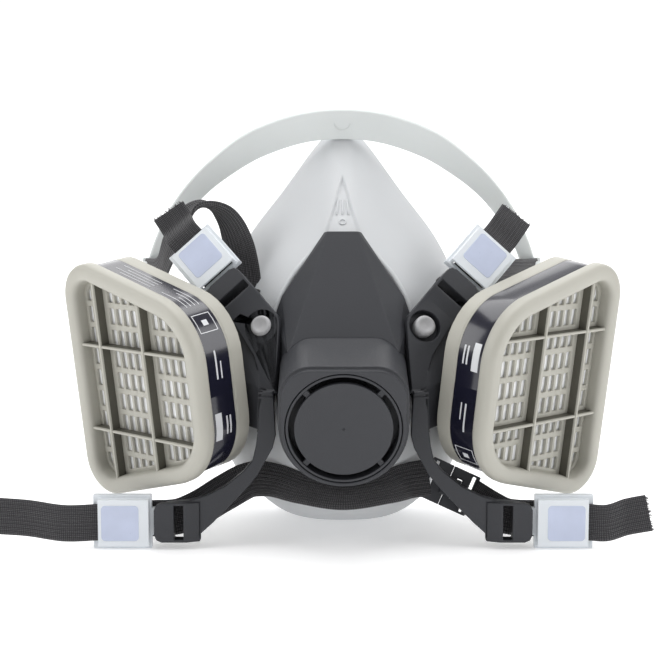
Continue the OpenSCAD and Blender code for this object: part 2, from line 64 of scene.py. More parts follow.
CAMERA_X = -0.0053
cam_data = bpy.data.cameras.new("camera")
cam_data.sensor_width = 36
cam_data.lens = 86.5
camera = bpy.data.objects.new("camera", cam_data)
camera.location = (CAMERA_X, -0.6452, 0.1652)
camera.rotation_euler = look_at(camera.location, (CAMERA_X, 0, 0.086))
bpy.context.collection.objects.link(camera)
bpy.context.scene.camera = camera


# ---- curves and frames, all in millimetres ----
def rounded(a, b, c, d, t):
    """Catmull-Rom between b and c."""
    return 0.5 * (2 * b + (c - a) * t + (2 * a - 5 * b + 4 * c - d) * t * t
                  + (3 * b - a - 3 * c + d) * t * t * t)


def open_curve(points, k):
    """A smooth curve through all the points, with k steps between neighbours."""
    p = [Vector(v) for v in points]
    out = []
    for i in range(len(p) - 1):
        for j in range(k):
            out.append(rounded(p[max(i - 1, 0)], p[i], p[i + 1], p[min(i + 2, len(p) - 1)], j / k))
    return out + [p[-1]]


def loop_curve(points, counts):
    """A smooth closed curve, with its own number of steps after each point."""
    p = [Vector(v) for v in points]
    n = len(p)
    out = []
    for i in range(n):
        for j in range(counts[i]):
            out.append(rounded(p[i - 1], p[i], p[(i + 1) % n], p[(i + 2) % n], j / counts[i]))
    return out


def axes(origin, x, y):
    """A frame with its X along x and its Y as near y as a right angle allows."""
    x = Vector(x).normalized()
    y = Vector(y)
    y = (y - x * x.dot(y)).normalized()
    m = Matrix((x, y, x.cross(y))).transposed().to_4x4()
    m.translation = Vector(origin)
    return m


def turn(degrees, axis):
    return Matrix.Rotation(math.radians(degrees), 4, axis)


MIRROR = Matrix.Diagonal((-1, 1, 1, 1))
PORT = Matrix.Translation((62, 13, 68)) @ turn(44, "Z") @ turn(98, "X")
PORTS = {"right": PORT @ turn(180, "Z"), "left": MIRROR @ PORT @ MIRROR}
ARM_X = (0.7435, -0.065, -0.664)
PEG = axes((33, -5, 88), ARM_X, (0.602, 0.4957, 0.6255))
UPPER_END = PEG @ Matrix.Translation((0, 25, -1.3))
LOWER_END = Matrix.Translation((72.5, -20, 11)) @ turn(90, "Y") @ turn(90, "X")
CRADLE = axes((0, 47.8, 170), (1, 0, 0), (0, -35, 66))
CRADLE_END = (89.5, 86, 101)
REAR_BAND = axes((0, *CRADLE_END[1:]), (1, 0, 0), (0, 0.55, -0.6))
LEVELS = ("upper", "lower")


def side_matrix(side, matrix):
    """The matrix of a right-hand place, mirrored when the side is left."""
    return matrix if side == "right" else MIRROR @ matrix


def end_matrix(level, side):
    """The frame of a buckle's strap pin, with Y along the strap and Z outward."""
    return side_matrix(side, UPPER_END if level == "upper" else LOWER_END)


# ---- mesh helpers ----
def to_object(name, bm, material, body, smooth=38, keep_flat=False):
    """Turns a bmesh in millimetres into a finished piece that rides on a body."""
    bmesh.ops.scale(bm, vec=(MM, MM, MM), verts=bm.verts)
    bmesh.ops.recalc_face_normals(bm, faces=bm.faces)
    mesh = bpy.data.meshes.new(name)
    bm.to_mesh(mesh)
    bm.free()
    for m in material if isinstance(material, (list, tuple)) else [material]:
        mesh.materials.append(m)
    mesh.polygons.foreach_set("use_smooth", [True] * len(mesh.polygons))
    mesh.set_sharp_from_angle(angle=math.radians(smooth))
    obj = bpy.data.objects.new(name, mesh)
    bpy.context.collection.objects.link(obj)
    if keep_flat:
        mod = obj.modifiers.new("even", "WEIGHTED_NORMAL")
        mod.keep_sharp = True
    if body:
        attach(obj, body)
    return obj


def soften(bm, width, segments=2, angle=28):
    """Rounds every edge sharper than the angle."""
    edges = [e for e in bm.edges if e.is_manifold and e.calc_face_angle(0) > math.radians(angle)]
    bmesh.ops.bevel(bm, geom=edges, offset=width, offset_type="OFFSET", segments=segments,
                    profile=0.5, affect="EDGES", clamp_overlap=False)


def refined(node, material, width=0.3, segments=2, angle=28, smooth=40):
    """A copy of a hard CAD node with its edges rounded, which stands for that node."""
    source = frame["nodes"][node]
    bm = bmesh.new()
    bm.from_mesh(source.data)
    bmesh.ops.transform(bm, matrix=source.matrix_world, verts=bm.verts)
    bmesh.ops.scale(bm, vec=(1 / MM, 1 / MM, 1 / MM), verts=bm.verts)
    bmesh.ops.remove_doubles(bm, verts=bm.verts, dist=0.004)
    bmesh.ops.dissolve_degenerate(bm, dist=0.01, edges=bm.edges)
    bmesh.ops.dissolve_limit(bm, angle_limit=math.radians(1), verts=bm.verts, edges=bm.edges)
    soften(bm, width, segments, angle)
    piece = to_object(node + "_look", bm, material, BODY_OF[node], smooth, True)
    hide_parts(node)
    return piece


def strip_faces(rows, closed_rows, closed_ring):
    """Quads between neighbouring rows of vertices; rows is a list of equal lists."""
    faces = []
    n, m = len(rows), len(rows[0])
    for i in range(n if closed_rows else n - 1):
        for j in range(m if closed_ring else m - 1):
            faces.append((rows[i][j], rows[(i + 1) % n][j],
                          rows[(i + 1) % n][(j + 1) % m], rows[i][(j + 1) % m]))
    return faces


def add_grid(bm, grid, closed_rows=False, closed_ring=True, caps=False):
    """Skins rows of points; caps closes the first and the last row."""
    rows = [[bm.verts.new(p) for p in row] for row in grid]
    for f in strip_faces(rows, closed_rows, closed_ring):
        bm.faces.new(f)
    if caps:
        bm.faces.new(rows[0])
        bm.faces.new(list(reversed(rows[-1])))
    return rows


def circle(r, sides):
    """Points on a circle about the origin, as pairs."""
    return [(r * math.cos(2 * math.pi * k / sides), r * math.sin(2 * math.pi * k / sides))
            for k in range(sides)]


def add_box(bm, x0, x1, y0, y1, z0, z1, matrix=Matrix()):
    middle = Matrix.Translation(((x0 + x1) / 2, (y0 + y1) / 2, (z0 + z1) / 2))
    size = Matrix.Diagonal((x1 - x0, y1 - y0, z1 - z0, 1))
    bmesh.ops.create_cube(bm, size=1, matrix=matrix @ middle @ size)


def tube_rows(path, radius, sides, closed=False):
    """Rings of points round a path; radius is one number or one for each point."""
    n = len(path)
    rows = []
    normal = None
    for i, p in enumerate(path):
        ahead = path[(i + 1) % n] if closed else path[min(i + 1, n - 1)]
        behind = path[i - 1] if closed else path[max(i - 1, 0)]
        t = (ahead - behind).normalized()
        if normal is None:
            normal = t.orthogonal().normalized()
        normal = (normal - t * normal.dot(t)).normalized()
        other = t.cross(normal)
        r = radius[i] if isinstance(radius, list) else radius
        rows.append([p + normal * math.cos(a) * r + other * math.sin(a) * r
                     for a in [2 * math.pi * k / sides for k in range(sides)]])
    return rows


# ---- materials ----
def material(name, color, rough, grain=900, bump=0.05, vary=0.05, drift=14, specular=0.5,
             coat=0.0, sheen=0.0, transmission=0.0, subsurface=0.0, ior=1.5, rough_vary=0.06):
    """Moulded plastic or rubber: fine grain in the bump, slow drift in colour and gloss."""
    mat = bpy.data.materials.new(name)
    mat.use_nodes = True
    nodes, links = mat.node_tree.nodes, mat.node_tree.links
    shader = nodes["Principled BSDF"]
    shader.inputs["Specular IOR Level"].default_value = specular
    shader.inputs["IOR"].default_value = ior
    shader.inputs["Coat Weight"].default_value = coat
    shader.inputs["Coat Roughness"].default_value = 0.12
    shader.inputs["Sheen Weight"].default_value = sheen
    shader.inputs["Transmission Weight"].default_value = transmission
    shader.inputs["Subsurface Weight"].default_value = subsurface
    if subsurface:
        shader.inputs["Subsurface Radius"].default_value = (1.0, 0.9, 0.85)
        shader.inputs["Subsurface Scale"].default_value = 0.004
    where = nodes.new("ShaderNodeTexCoord")
    slow = nodes.new("ShaderNodeTexNoise")
    slow.inputs["Scale"].default_value = drift
    slow.inputs["Detail"].default_value = 4
    fine = nodes.new("ShaderNodeTexNoise")
    fine.inputs["Scale"].default_value = grain
    fine.inputs["Detail"].default_value = 3
    links.new(where.outputs["Object"], slow.inputs["Vector"])
    links.new(where.outputs["Object"], fine.inputs["Vector"])
    ramp = nodes.new("ShaderNodeValToRGB")
    ramp.color_ramp.elements[0].position = 0.3
    ramp.color_ramp.elements[1].position = 0.7
    ramp.color_ramp.elements[0].color = [c * (1 - vary) for c in color] + [1]
    ramp.color_ramp.elements[1].color = [min(c * (1 + vary), 1) for c in color] + [1]
    links.new(slow.outputs["Fac"], ramp.inputs["Fac"])
    links.new(ramp.outputs["Color"], shader.inputs["Base Color"])
    spread = nodes.new("ShaderNodeMapRange")
    spread.inputs["To Min"].default_value = max(rough - rough_vary, 0.02)
    spread.inputs["To Max"].default_value = min(rough + rough_vary, 1)
    links.new(fine.outputs["Fac"], spread.inputs["Value"])
    links.new(spread.outputs["Result"], shader.inputs["Roughness"])
    relief = nodes.new("ShaderNodeBump")
    relief.inputs["Strength"].default_value = bump
    relief.inputs["Distance"].default_value = 0.0004
    links.new(fine.outputs["Fac"], relief.inputs["Height"])
    links.new(relief.outputs["Normal"], shader.inputs["Normal"])
    return mat


def webbing_material():
    """Elastic webbing: lengthwise cords crossed by fine weft, with painted highlight on the raised
    cords and painted shade between them.
    """
    mat = bpy.data.materials.new("webbing")
    mat.use_nodes = True
    nodes, links = mat.node_tree.nodes, mat.node_tree.links
    shader = nodes["Principled BSDF"]
    shader.inputs["Roughness"].default_value = 0.82
    shader.inputs["Specular IOR Level"].default_value = 0.25
    shader.inputs["Sheen Weight"].default_value = 0.25
    shader.inputs["Sheen Roughness"].default_value = 0.5
    uv = nodes.new("ShaderNodeUVMap")
    uv.uv_map = "weave"
    cords = nodes.new("ShaderNodeTexWave")
    cords.bands_direction = "X"
    cords.inputs["Scale"].default_value = 4.4
    cords.inputs["Distortion"].default_value = 0.6
    cords.inputs["Detail"].default_value = 2
    cords.inputs["Detail Scale"].default_value = 3
    weft = nodes.new("ShaderNodeTexWave")
    weft.bands_direction = "Y"
    weft.inputs["Scale"].default_value = 4.2
    weft.inputs["Distortion"].default_value = 1.2
    weft.inputs["Detail"].default_value = 2
    fuzz = nodes.new("ShaderNodeTexNoise")
    fuzz.inputs["Scale"].default_value = 14
    fuzz.inputs["Detail"].default_value = 6
    for n in (cords, weft, fuzz):
        links.new(uv.outputs["UV"], n.inputs["Vector"])
    both = nodes.new("ShaderNodeMath")
    both.operation = "MULTIPLY"
    links.new(cords.outputs["Fac"], both.inputs[0])
    links.new(weft.outputs["Fac"], both.inputs[1])
    total = nodes.new("ShaderNodeMath")
    total.operation = "MULTIPLY_ADD"
    total.inputs[1].default_value = 0.6
    links.new(fuzz.outputs["Fac"], total.inputs[0])
    links.new(both.outputs["Value"], total.inputs[2])
    # Colour follows the cord relief and random fuzz: raised cords lighter as painted highlight,
    # grooves darker as painted shade.
    ramp = nodes.new("ShaderNodeValToRGB")
    ramp.color_ramp.elements[0].position = 0.25
    ramp.color_ramp.elements[1].position = 1.0
    ramp.color_ramp.elements[0].color = (0.022, 0.022, 0.024, 1)
    ramp.color_ramp.elements[1].color = (0.095, 0.092, 0.098, 1)
    links.new(total.outputs["Value"], ramp.inputs["Fac"])
    links.new(ramp.outputs["Color"], shader.inputs["Base Color"])
    relief = nodes.new("ShaderNodeBump")
    relief.inputs["Strength"].default_value = 0.55
    relief.inputs["Distance"].default_value = 0.0005
    links.new(total.outputs["Value"], relief.inputs["Height"])
    links.new(relief.outputs["Normal"], shader.inputs["Normal"])
    return mat


def granules_material():
    """A packed bed of dark granules."""
    mat = material("carbon_granules", (0.02, 0.02, 0.021), 0.5, grain=500, bump=0.2, vary=0.4,
                   drift=700)
    nodes, links = mat.node_tree.nodes, mat.node_tree.links
    cells = nodes.new("ShaderNodeTexVoronoi")
    cells.inputs["Scale"].default_value = 700
    where = next(n for n in nodes if n.bl_idname == "ShaderNodeTexCoord")
    relief = next(n for n in nodes if n.bl_idname == "ShaderNodeBump")
    relief.inputs["Strength"].default_value = 0.9
    relief.inputs["Distance"].default_value = 0.001
    links.new(where.outputs["Object"], cells.inputs["Vector"])
    links.new(cells.outputs["Distance"], relief.inputs["Height"])
    return mat


SEAL = material("soft_elastomer", (0.58, 0.595, 0.61), 0.5, grain=1400, bump=0.10, vary=0.03,
                drift=18, specular=0.4, subsurface=0.12, sheen=0.08)
CRADLE_MAT = material("cradle_plastic", (0.71, 0.74, 0.735), 0.42, grain=1100, bump=0.06,
                      vary=0.03, drift=20, specular=0.45, subsurface=0.1)
DARK = material("dark_plastic", (0.036, 0.0375, 0.043), 0.46, grain=1700, bump=0.16, vary=0.05,
                drift=22, specular=0.36)
DARK_SATIN = material("dark_satin", (0.036, 0.0375, 0.043), 0.4, grain=1700, bump=0.10,
                      vary=0.05, drift=22, specular=0.36)
BLACK = material("flap_dark_rubber", (0.02, 0.02, 0.021), 0.6, bump=0.1, vary=0.1, drift=30,
                 specular=0.35)
GASKET = material("gasket_rubber", (0.022, 0.022, 0.024), 0.62, bump=0.12, vary=0.1, drift=30,
                  specular=0.35)
FLAP = material("flap_rubber", (0.46, 0.40, 0.2), 0.42, grain=700, bump=0.08, vary=0.06,
                drift=40, subsurface=0.1)
PEG_MAT = material("peg_plastic", (0.40, 0.40, 0.41), 0.38, grain=1200, bump=0.08, vary=0.03,
                   drift=30)
BEIGE = material("cartridge_plastic", (0.435, 0.425, 0.375), 0.44, grain=1300, bump=0.10,
                 vary=0.035, drift=22)
# Darker copy of the cartridge plastic: painted shade on the fin sides deep in the grille.
BEIGE_PAINTED_SHADE = material("cartridge_plastic_painted_shade", (0.10, 0.096, 0.078), 0.55, grain=1300, bump=0.1,
                      vary=0.05, drift=22, specular=0.35)
LABEL = material("label_film", (0.0085, 0.0085, 0.02), 0.2, grain=260, bump=0.04, vary=0.1,
                 drift=30, coat=0.5, rough_vary=0.04)
INK = material("label_ink", (0.72, 0.73, 0.75), 0.4, bump=0.03, vary=0.03, drift=60,
               specular=0.4)
CLEAR = material("clear_buckle_plastic", (0.82, 0.86, 0.90), 0.32, grain=800, bump=0.04,
                 vary=0.01, drift=30, transmission=0.15, coat=0.3)
CLEAR_BACKED = material("clear_plastic_over_webbing", (0.50, 0.55, 0.70), 0.3, grain=800,
                        bump=0.04, vary=0.08, drift=60, coat=0.3)
SCRIM = material("white_scrim", (0.86, 0.87, 0.88), 0.9, grain=1500, bump=0.35, vary=0.05,
                 drift=120, specular=0.2)
CARBON = granules_material()
WEBBING = webbing_material()


# ---- soft face seal ----
RIM = [(0, 57, 168), (9, 57.5, 163.5), (26, 59.5, 141), (43, 61, 118), (54, 61.5, 92),
       (58, 60, 66), (55, 58, 40), (43, 55, 18), (24, 53, 4), (0, 52, 0)]
MID = [(0, 36, 147), (8, 36, 145), (22, 33, 130), (37, 29, 116), (53, 20, 97),
       (64, 9, 70), (61, 7, 45), (49, 0, 17), (28, -9, -2), (0, -13, -5)]
FRONT = [(0, 18, 127), (5, 17.5, 125), (13, 14, 115), (20, 10, 105), (24, 5, 92),
         (25, 0, 75), (25, -6, 58), (22, -12, 44), (13, -16, 35), (0, -17, 33)]
COUNTS = [22, 14] + [9] * 14 + [14, 22]
SKIN_ROWS = 60
SEAL_T = 2.2
NOSE_TOP = 149
NOSE_DEPTH = 1.15
BEAD_ROW = 56
BEAD_R = 1.35


def both_sides(half):
    """A closed outline from its right half, which starts and ends on the middle plane."""
    return half + [(-x, y, z) for x, y, z in reversed(half[1:-1])]


def ease(x):
    """Smooth step from 0 to 1."""
    x = min(max(x, 0), 1)
    return x * x * (3 - 2 * x)


def skin_point(rim, mid, front, s):
    """Quadratic curve from the rim (s = 0) to the front edge (s = 1), drawn by mid."""
    return rim * (1 - s) ** 2 + mid * (2 * s * (1 - s)) + front * s * s


def seal_skin():
    """The rim's loop and the outer skin, which runs under the hard body at the nose."""
    rim, mid, front = (loop_curve(both_sides(h), COUNTS) for h in (RIM, MID, FRONT))
    skin = []
    for r, m, f in zip(rim, mid, front):
        reach = 1 + 0.05 * ease((f.z - 92) / 25)
        skin.append([skin_point(r, m, f, reach * j / SKIN_ROWS) for j in range(SKIN_ROWS + 1)])
    return rim, skin


def seal_normals(skin):
    """The inward normal at each point of the skin."""
    n = len(skin)
    out = []
    for i in range(n):
        row = []
        for j in range(SKIN_ROWS + 1):
            di = skin[(i + 1) % n][j] - skin[i - 1][j]
            dj = skin[i][min(j + 1, SKIN_ROWS)] - skin[i][max(j - 1, 0)]
            row.append(di.cross(dj).normalized())
        out.append(row)
    return out


def nose_recess(p):
    """Depth of the wedge-shaped recess on the nose ridge, 0 to 1."""
    half = 7.0 * (NOSE_TOP - p.z) / 22
    across = ease((half - abs(p.x)) / 0.8)
    return across * ease((NOSE_TOP - p.z) / 3) if p.y < 42 else 0


def make_seal():
    """The seal as one closed skin: outside, rolled lip and inside, with both ports cut."""
    rim, skin = seal_skin()
    inward = seal_normals(skin)
    grid = []
    for i, r in enumerate(rim):
        toward = (Vector((0, r.y, 75)) - r).normalized()
        back = Vector((0, 1, 0))
        outer = []
        for j in range(SKIN_ROWS, 0, -1):
            p = skin[i][j]
            outer.append(p + inward[i][j] * NOSE_DEPTH * nose_recess(p))
        roll = [r - back * 0.45 + toward * 0.12, r - back * 0.1 + toward * 0.5,
                r + toward * 1.3, r + toward * 3.2 - back * 0.3, r + toward * 5.4 - back * 0.6,
                r + toward * 7.6 - back * 1.0, r + toward * 8.6 - back * 1.25,
                r + toward * 9 - back * 1.6, r + toward * 8.9 - back * 2.05,
                r + toward * 8.2 - back * 2.35, r + toward * 6 - back * 2.5,
                r + toward * 3.8 - back * 2.9]
        inner = [skin[i][j] + inward[i][j] * SEAL_T for j in range(3, SKIN_ROWS + 1)]
        grid.append(outer + roll + inner)
    bm = bmesh.new()
    add_grid(bm, grid, closed_rows=True)
    for v in bm.verts:
        v.co.z = max(v.co.z, 0.02)
    seal = to_object("face_seal_look", bm, SEAL, "facepiece", 60)
    cutter_bm = bmesh.new()
    for side in SIDES:
        bmesh.ops.create_cone(cutter_bm, cap_ends=True, segments=64, radius1=17.5, radius2=17.5,
                              depth=40, matrix=side_matrix(side, PORT)
                              @ Matrix.Translation((0, 0, -12)))
    bmesh.ops.recalc_face_normals(cutter_bm, faces=cutter_bm.faces)
    cut(seal, cutter_bm)
    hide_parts("face_seal")
    return skin, inward


def cut(obj, cutter_bm):
    """Cuts the bmesh, in millimetres, out of a piece for good."""
    bmesh.ops.scale(cutter_bm, vec=(MM, MM, MM), verts=cutter_bm.verts)
    mesh = bpy.data.meshes.new("cutter")
    cutter_bm.to_mesh(mesh)
    cutter_bm.free()
    cutter = bpy.data.objects.new("cutter", mesh)
    bpy.context.collection.objects.link(cutter)
    mod = obj.modifiers.new("cut", "BOOLEAN")
    mod.operation = "DIFFERENCE"
    mod.solver = "EXACT"
    mod.object = cutter
    bpy.context.view_layer.update()
    graph = bpy.context.evaluated_depsgraph_get()
    result = bpy.data.meshes.new_from_object(obj.evaluated_get(graph))
    obj.modifiers.remove(mod)
    obj.data = result
    bpy.data.objects.remove(cutter)


SKIN, INWARD = make_seal()


def seal_bead(side):
    """Raised lip of the seal that frames the hard body down one side."""
    path = []
    for points, inward in zip(SKIN, INWARD):
        p = points[BEAD_ROW]
        if p.x * SIDES[side] > 6.3 and p.z > 60:
            path.append(p - inward[BEAD_ROW] * 0.3)
    path.sort(key=lambda p: -p.z)
    bm = bmesh.new()
    radius = [BEAD_R * ease((i + 1) / 5) for i in range(len(path) - 2)] + [0.9, 0.3]
    add_grid(bm, tube_rows(path, radius, 12), caps=True)
    return to_object("seal_bead_" + side, bm, SEAL, "facepiece", 60)


for side in SIDES:
    seal_bead(side)


def nose_marks():
    """Three short moulded ribs and a small ring in the nose recess."""
    ridge = [Vector(outline[0]) for outline in (RIM, MID, FRONT)]

    def on_ridge(s, sunk):
        p, q = skin_point(*ridge, s), skin_point(*ridge, s - 0.01)
        return axes(p, (1, 0, 0), q - p) @ Matrix.Translation((0, 0, -sunk))

    bm = bmesh.new()
    plate = on_ridge(0.79, 1.1)
    for x in (-2.2, 0, 2.2):
        path = [plate @ Vector((x * (1 - 0.04 * t), t, 0)) for t in (-3.8, -3.5, -1, 2, 4.2, 4.5)]
        add_grid(bm, tube_rows(path, [0.1, 0.5, 0.55, 0.55, 0.5, 0.1], 8), caps=True)
    ring = on_ridge(0.93, 1.0)
    loop = [ring @ Vector((x, y, 0)) for x, y in circle(1.35, 32)]
    add_grid(bm, tube_rows(loop, 0.32, 8, True), closed_rows=True)
    return to_object("nose_marks", bm, SEAL, "facepiece", 60)


nose_marks()


# ---- hard parts that keep their CAD shape, with rounded edges ----
def buckle_window(level, side):
    """The bluish middle of a buckle's plate, where the webbing shows through."""
    end = end_matrix(level, side)
    bm = bmesh.new()
    add_box(bm, -7.2, 7.2, 9.4, 24.4, 4.5, 4.85, end)
    upright = end.to_3x3().col[2].normalized()
    corners = [e for e in bm.edges
               if abs((e.verts[1].co - e.verts[0].co).normalized().dot(upright)) > 0.9]
    bmesh.ops.bevel(bm, geom=corners, offset=1.6, offset_type="OFFSET", segments=4, profile=0.5,
                    affect="EDGES")
    soften(bm, 0.12, 1)
    return to_object("buckle_window_" + level + "_" + side, bm, CLEAR_BACKED,
                     "buckle_" + level + "_" + side)


refined("front_body", DARK_SATIN, 0.25, 2, 9, 8)
refined("valve_housing", DARK, 0.5, 3, 20)
refined("valve_guard", DARK, 0.3, 2)
refined("exhalation_seat", DARK, 0.15, 1)
refined("exhalation_valve", BLACK, 0.12, 1)
refined("neck_clasp_hook", DARK, 0.3, 2)
refined("neck_clasp_loop", DARK, 0.3, 2)
for side in SIDES:
    refined("yoke_" + side, DARK, 0.45, 2, 24)
    refined("yoke_peg_" + side, PEG_MAT, 0.3, 2)
    refined("inhalation_port_" + side, DARK, 0.2, 1)
    refined("port_gasket_" + side, GASKET, 0.25, 2)
    refined("inhalation_valve_" + side, FLAP, 0.1, 1)
    refined("cartridge_" + side + "_back_shell", BEIGE, 0.5, 3)
    refined("cartridge_" + side + "_carbon_bed", CARBON, 0.3, 1)
    for level in LEVELS:
        refined("buckle_" + level + "_" + side, CLEAR, 0.35, 2)
        buckle_window(level, side)


def fold_ribs(side):
    """Two thin ribs across the yoke strip beside the valve housing."""
    bm = bmesh.new()
    for z in (61.6, 63.4):
        x0, x1 = sorted((28.2 * SIDES[side], 34.0 * SIDES[side]))
        add_box(bm, x0, x1, -22.45, -21.7, z - 0.35, z + 0.35)
    soften(bm, 0.2, 2)
    return to_object("yoke_fold_" + side, bm, DARK, "facepiece")


for side in SIDES:
    fold_ribs(side)


# ---- head cradle ----
FRONT_HALF = [(20, 4.2), (41, -4.4), (57, -17.2), (69, -30.5), (79, -46), (86, -62),
              (90.5, -76), (92, -82)]
FRONT_WIDTHS = [14, 13.4, 11.5, 9.6, 8.2, 7, 7, 7]
REAR_OUTER = [(-92, -2), (-84, 10), (-66, 24), (-40, 36), (0, 41), (40, 36), (66, 24), (84, 10),
              (92, -2)]
REAR_WIDTHS = [7, 8, 9, 10, 11, 10, 9, 8, 7]


HALF_SECTION = [(0, -1), (0.02, -0.65), (0.16, -0.28), (0.42, -0.07), (0.8, 0)]
END_PROFILE = [(6.2, -2), (7.9, -2), (8.3, -1.85), (8.5, -1.45), (8.5, 1.45), (8.3, 1.85),
               (7.9, 2), (6.2, 2)]


def add_band(bm, outer, widths, matrix, top):
    """A flat 2 mm band with rounded edges that follows an outline at a changing width."""
    path = open_curve([(x, y, 0) for x, y in outer], 9)
    width = [v.x for v in open_curve([(w, 0, 0) for w in widths], 9)]
    grid = []
    n = len(path)
    for i, p in enumerate(path):
        t = (path[min(i + 1, n - 1)] - path[max(i - 1, 0)]).normalized()
        side = Vector((t.y, -t.x, 0))
        w = width[i]
        upper = HALF_SECTION + [(w / 2, 0.0)] + [(w - u, z) for u, z in reversed(HALF_SECTION)]
        ring = upper + [(u, -2 - z) for u, z in reversed(upper[1:-1])]
        grid.append([matrix @ (p + side * u + Vector((0, 0, top + z))) for u, z in ring])
    add_grid(bm, grid, caps=True)


def make_cradle():
    """Front band, rear band and the small moulded arc at the top of the front one."""
    bm = bmesh.new()
    outer = [(-x, y) for x, y in reversed(FRONT_HALF)] + [(0, 6.7)] + FRONT_HALF
    add_band(bm, outer, FRONT_WIDTHS[::-1] + [14.4] + FRONT_WIDTHS, CRADLE, 0)
    add_band(bm, REAR_OUTER, REAR_WIDTHS, REAR_BAND, 1)
    arc = [CRADLE @ Vector((3.4 * math.cos(a), 0.6 + 3.4 * math.sin(a), -0.05))
           for a in [math.radians(180 + 12 * k) for k in range(16)]]
    add_grid(bm, tube_rows(arc, [0.1] + [0.34] * 14 + [0.1], 8), caps=True)
    cradle = to_object("head_cradle_look", bm, CRADLE_MAT, "facepiece", 50, True)
    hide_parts("head_cradle")


def cradle_end(side):
    """The round end that joins the two bands, slotted for the upper strap."""
    x, y, z = CRADLE_END
    x *= SIDES[side]
    place = Matrix.Translation((x, y, z)) @ turn(90, "Y")
    bm = bmesh.new()
    grid = [[place @ Vector((r * c, r * s, h)) for r, h in END_PROFILE] for c, s in circle(1, 72)]
    rows = add_grid(bm, grid, closed_rows=True, closed_ring=False)
    bm.faces.new([row[0] for row in rows])
    bm.faces.new([row[-1] for row in reversed(rows)])
    end = to_object("cradle_end_" + side, bm, CRADLE_MAT, "facepiece", 40)
    cutter = bmesh.new()
    add_box(cutter, x - 5, x + 5, y - 5, y - 2, z - 8, z + 8.4)
    cut(end, cutter)


make_cradle()
for side in SIDES:
    cradle_end(side)


# ---- cartridges ----
REAR_H, NEAR_H, HALF_W, REAR_R, NEAR_R = 54, 33, 40, 15, 27
SLOPE = math.degrees(math.atan2(REAR_H - NEAR_H, 2 * HALF_W))


def corner(v, a0, a1, r, steps=14):
    """Points and outward directions of the arc that rounds the corner v."""
    half = math.radians((a0 + a1) / 2)
    reach = r / math.cos(math.radians((a1 - a0) / 2))
    mid = Vector(v) - Vector((math.cos(half), math.sin(half))) * reach
    out = []
    for i in range(steps + 1):
        a = math.radians(a0 + (a1 - a0) * i / steps)
        d = Vector((math.cos(a), math.sin(a)))
        out.append((mid + d * r, d))
    return out


OUTLINE = (corner((-HALF_W, -REAR_H), 180, 270 + SLOPE, REAR_R)
           + corner((HALF_W, -NEAR_H), -90 + SLOPE, 0, NEAR_R)
           + corner((HALF_W, NEAR_H), 0, 90 - SLOPE, NEAR_R)
           + corner((-HALF_W, REAR_H), 90 - SLOPE, 180, REAR_R))


def outline(inset):
    return [p - d * inset for p, d in OUTLINE]


def ring_grid(profile):
    return [[Vector((p.x - d.x * inset, p.y - d.y * inset, z)) for inset, z in profile]
            for p, d in OUTLINE]


def clip(polygon, edge_points):
    """The part of a polygon inside a convex, anticlockwise outline."""
    n = len(edge_points)
    for i in range(n):
        a, b = edge_points[i], edge_points[(i + 1) % n]
        if (b - a).length < 1e-6:
            continue

        def inside(p):
            return (b.x - a.x) * (p.y - a.y) - (b.y - a.y) * (p.x - a.x)

        out = []
        for k in range(len(polygon)):
            p, q = polygon[k - 1], polygon[k]
            dp, dq = inside(p), inside(q)
            if (dp < 0) != (dq < 0):
                out.append(p + (q - p) * (dp / (dp - dq)))
            if dq >= 0:
                out.append(q)
        polygon = out
        if len(polygon) < 3:
            return []
    return polygon


def area(polygon):
    return abs(sum(polygon[i - 1].x * polygon[i].y - polygon[i].x * polygon[i - 1].y
                   for i in range(len(polygon)))) / 2


def round_corners(polygon, r):
    """The same polygon with each corner turned on a small arc."""
    out = []
    n = len(polygon)
    for i in range(n):
        a, b, c = polygon[i - 1], polygon[i], polygon[(i + 1) % n]
        cut_a = min(r, (a - b).length * 0.4)
        cut_c = min(r, (c - b).length * 0.4)
        p, q = b + (a - b).normalized() * cut_a, b + (c - b).normalized() * cut_c
        for t in (0, 0.33, 0.67, 1):
            out.append(p * (1 - t) ** 2 + b * (2 * t * (1 - t)) + q * t * t)
    return out


SLOT_X = (-30, -25.4, -16, -11.4, -6.8, -2.2, 2.4, 11.2, 15.8, 20.4, 25)
SLOT_HALF_W = 1.6
SLOT_LENGTH = 6.8
SLOT_PITCH = 9.1
PLATE_Z = (26.0, 27.2)


def grille_slots():
    """Outlines of the grille's slots, trimmed where the plate's edge crosses them."""
    limit = outline(8.9)
    slots = []
    for x in SLOT_X:
        x0, x1 = x - SLOT_HALF_W, x + SLOT_HALF_W
        for j in range(-6, 6):
            y0 = j * SLOT_PITCH - 3.3
            y1 = y0 + SLOT_LENGTH
            box = [Vector((x0, y0)), Vector((x1, y0)), Vector((x1, y1)), Vector((x0, y1))]
            shape = clip(box, limit)
            if len(shape) < 3 or area(shape) <= 3.5:
                continue
            clean = [p for i, p in enumerate(shape) if (p - shape[i - 1]).length > 0.15]
            if len(clean) >= 3:
                slots.append(round_corners(clean, 0.5))
    return slots


def add_prism(bm, polygon, z0, z1):
    grid = [[Vector((p.x, p.y, z)) for p in polygon] for z in (z0, z1)]
    add_grid(bm, grid, caps=True)


